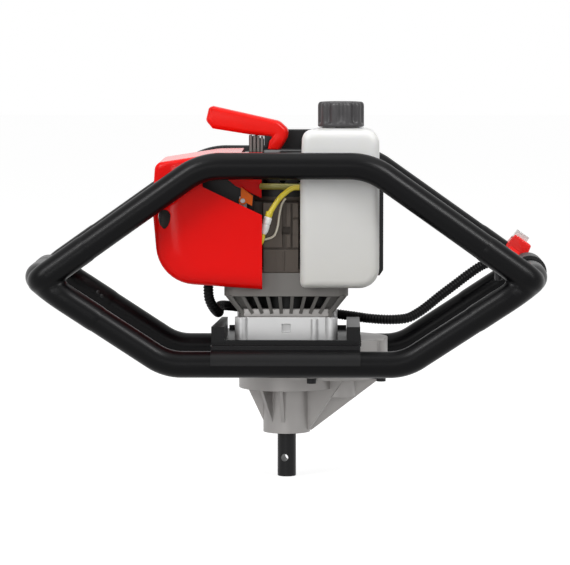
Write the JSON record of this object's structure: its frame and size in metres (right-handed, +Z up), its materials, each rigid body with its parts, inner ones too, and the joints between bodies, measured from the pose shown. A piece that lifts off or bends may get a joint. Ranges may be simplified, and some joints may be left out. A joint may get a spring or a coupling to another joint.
{
  "type": "earth auger power head",
  "caption": "Two-man earth auger power head: small two-stroke engine, white fuel tank and red shroud on a black bent-tube frame, over a silver gearbox with a black output shaft.",
  "frame": {"origin": "centre of the output shaft's lower end face", "axes": "+Z up along the output shaft, +X to the right along the frame's long direction as seen from the fuel tank's side, -Y towards that viewer"},
  "size_m": [0.5561, 0.222, 0.4054],
  "materials": {
    "frame_paint": "satin black paint",
    "cradle_paint": "satin black paint",
    "black_bolts": "black oxide",
    "cast_silver": "die cast, bead blasted",
    "cast_grey": "die cast, grey paint",
    "engine_grey": "die cast, warm grey paint",
    "machined_steel": "machined",
    "shaft_black": "blackened steel",
    "gasket_fibre": "fibre sheet",
    "seal_rubber": "moulded",
    "friction_lining": "sintered",
    "plug_ceramic": "glazed ceramic",
    "boot_rubber": "moulded",
    "black_plastic": "moulded",
    "muffler_metal": "heat resistant black",
    "foam": "open-cell foam",
    "orange_plastic": "moulded",
    "red_plastic": "moulded",
    "grip_red": "moulded",
    "switch_red": "moulded",
    "button_white": "translucent",
    "pulley_plastic": "moulded",
    "spring_steel": "rolled strip",
    "rope_cord": "braided",
    "tank_plastic": "translucent natural white",
    "cap_plastic": "moulded",
    "liner_cork": "sheet",
    "fuel_hose": "extruded, yellow",
    "conduit_plastic": "corrugated"
  },
  "bodies": {
    "head": {"lower_front_tube": "frame_paint", "lower_rear_tube": "frame_paint", "left_handle_tube": "frame_paint", "right_handle_tube": "frame_paint", "upper_front_tube": "frame_paint", "upper_rear_tube": "frame_paint", "cradle": "cradle_paint", "cradle_bolts": "black_bolts", "gearbox_lower_housing": "cast_silver", "gearbox_gasket": "gasket_fibre", "gearbox_upper_housing": "cast_silver", "gearbox_bolts": "black_bolts", "output_bearings": "machined_steel", "oil_seal": "seal_rubber", "countershaft_bearings": "machined_steel", "drum_bearings": "machined_steel", "bearing_block": "cast_silver", "fan_housing": "cast_grey", "crankcase_lower": "engine_grey", "crankcase_upper": "engine_grey", "crank_bearings": "machined_steel", "connecting_rod": "machined_steel", "piston": "cast_silver", "engine_cylinder": "cast_silver", "spark_plug": "plug_ceramic", "plug_boot": "boot_rubber", "ignition_coil": "black_plastic", "ignition_lead": "boot_rubber", "muffler": "muffler_metal", "intake_elbow": "black_plastic", "carburetor": "cast_silver", "air_filter_case": "black_plastic", "air_filter_element": "foam", "engine_shroud": "red_plastic", "starter_housing": "black_plastic", "starter_spring": "spring_steel", "fuel_tank": "tank_plastic", "tank_bracket": "black_plastic", "fuel_line": "fuel_hose", "control_conduit": "conduit_plastic", "throttle_housing": "black_plastic", "stop_switch": "switch_red"},
    "output": {"output_shaft": "shaft_black", "output_gear": "machined_steel"},
    "counter": {"countershaft": "machined_steel", "countershaft_gear": "machined_steel"},
    "drum": {"clutch_drum": "machined_steel"},
    "crank": {"crankshaft": "machined_steel", "flywheel": "cast_silver", "clutch_shoes": "friction_lining", "clutch_bolts": "machined_steel"},
    "pulley": {"starter_pulley": "pulley_plastic", "rope_winding": "rope_cord"},
    "grip": {"starter_grip": "grip_red", "starter_rope": "rope_cord"},
    "liner": {"cap_liner": "liner_cork"},
    "cap": {"fuel_cap": "cap_plastic"},
    "trigger": {"throttle_trigger": "black_plastic"},
    "choke": {"choke_lever": "orange_plastic"},
    "button": {"stop_button": "button_white"}
  },
  "joints": [
    {"name": "drum_spin", "type": "hinge", "parent": "head", "child": "drum", "pos_m": [0, 0, 0.16], "axis": [0, 0, 1], "continuous": true},
    {"name": "countershaft_spin", "type": "hinge", "parent": "head", "child": "counter", "pos_m": [0.054, 0, 0.12], "axis": [0, 0, 1], "continuous": true},
    {"name": "output_spin", "type": "hinge", "parent": "head", "child": "output", "pos_m": [0, 0, 0.05], "axis": [0, 0, 1], "continuous": true},
    {"name": "crank_spin", "type": "hinge", "parent": "head", "child": "crank", "pos_m": [0, 0, 0.25], "axis": [0, 0, 1], "continuous": true},
    {"name": "starter_pull", "type": "slide", "parent": "head", "child": "grip", "axis": [0, 0, 1], "range_m": [0, 0.5], "stiffness_N_per_m": 20, "springref_m": -0.1, "deforming": ["starter_rope"]},
    {"name": "starter_pulley_spin", "type": "hinge", "parent": "head", "child": "pulley", "pos_m": [0, 0, 0.327], "axis": [0, 0, 1], "range_deg": [0, 1500]},
    {"name": "cap_lift", "type": "slide", "parent": "head", "child": "liner", "axis": [0, 0, 1], "range_m": [0, 0.006]},
    {"name": "cap_turn", "type": "hinge", "parent": "liner", "child": "cap", "pos_m": [0.058, -0.04, 0.39], "axis": [0, 0, 1], "range_deg": [0, 730]},
    {"name": "throttle_trigger", "type": "hinge", "parent": "head", "child": "trigger", "pos_m": [0.236, 0.04, 0.22], "axis": [0, 0, 1], "range_deg": [0, 15], "stiffness_Nm_per_rad": 0.5, "springref_deg": -5.73},
    {"name": "choke_lever", "type": "hinge", "parent": "head", "child": "choke", "pos_m": [-0.0455, -0.063, 0.301], "axis": [0, 1, 0], "range_deg": [0, 50]},
    {"name": "stop_button", "type": "slide", "parent": "head", "child": "button", "axis": [-0.5789, 0, -0.8154], "range_m": [0, 0.003], "stiffness_N_per_m": 400, "springref_m": -0.002}
  ],
  "couplings": [
    {"joint": "countershaft_spin", "follows": "drum_spin", "ratio": -0.15385},
    {"joint": "output_spin", "follows": "drum_spin", "ratio": 0.038462},
    {"joint": "starter_pulley_spin", "follows": "starter_pull", "rad_per_m": 50},
    {"joint": "cap_turn", "follows": "cap_lift", "rad_per_m": 2094.4}
  ]
}
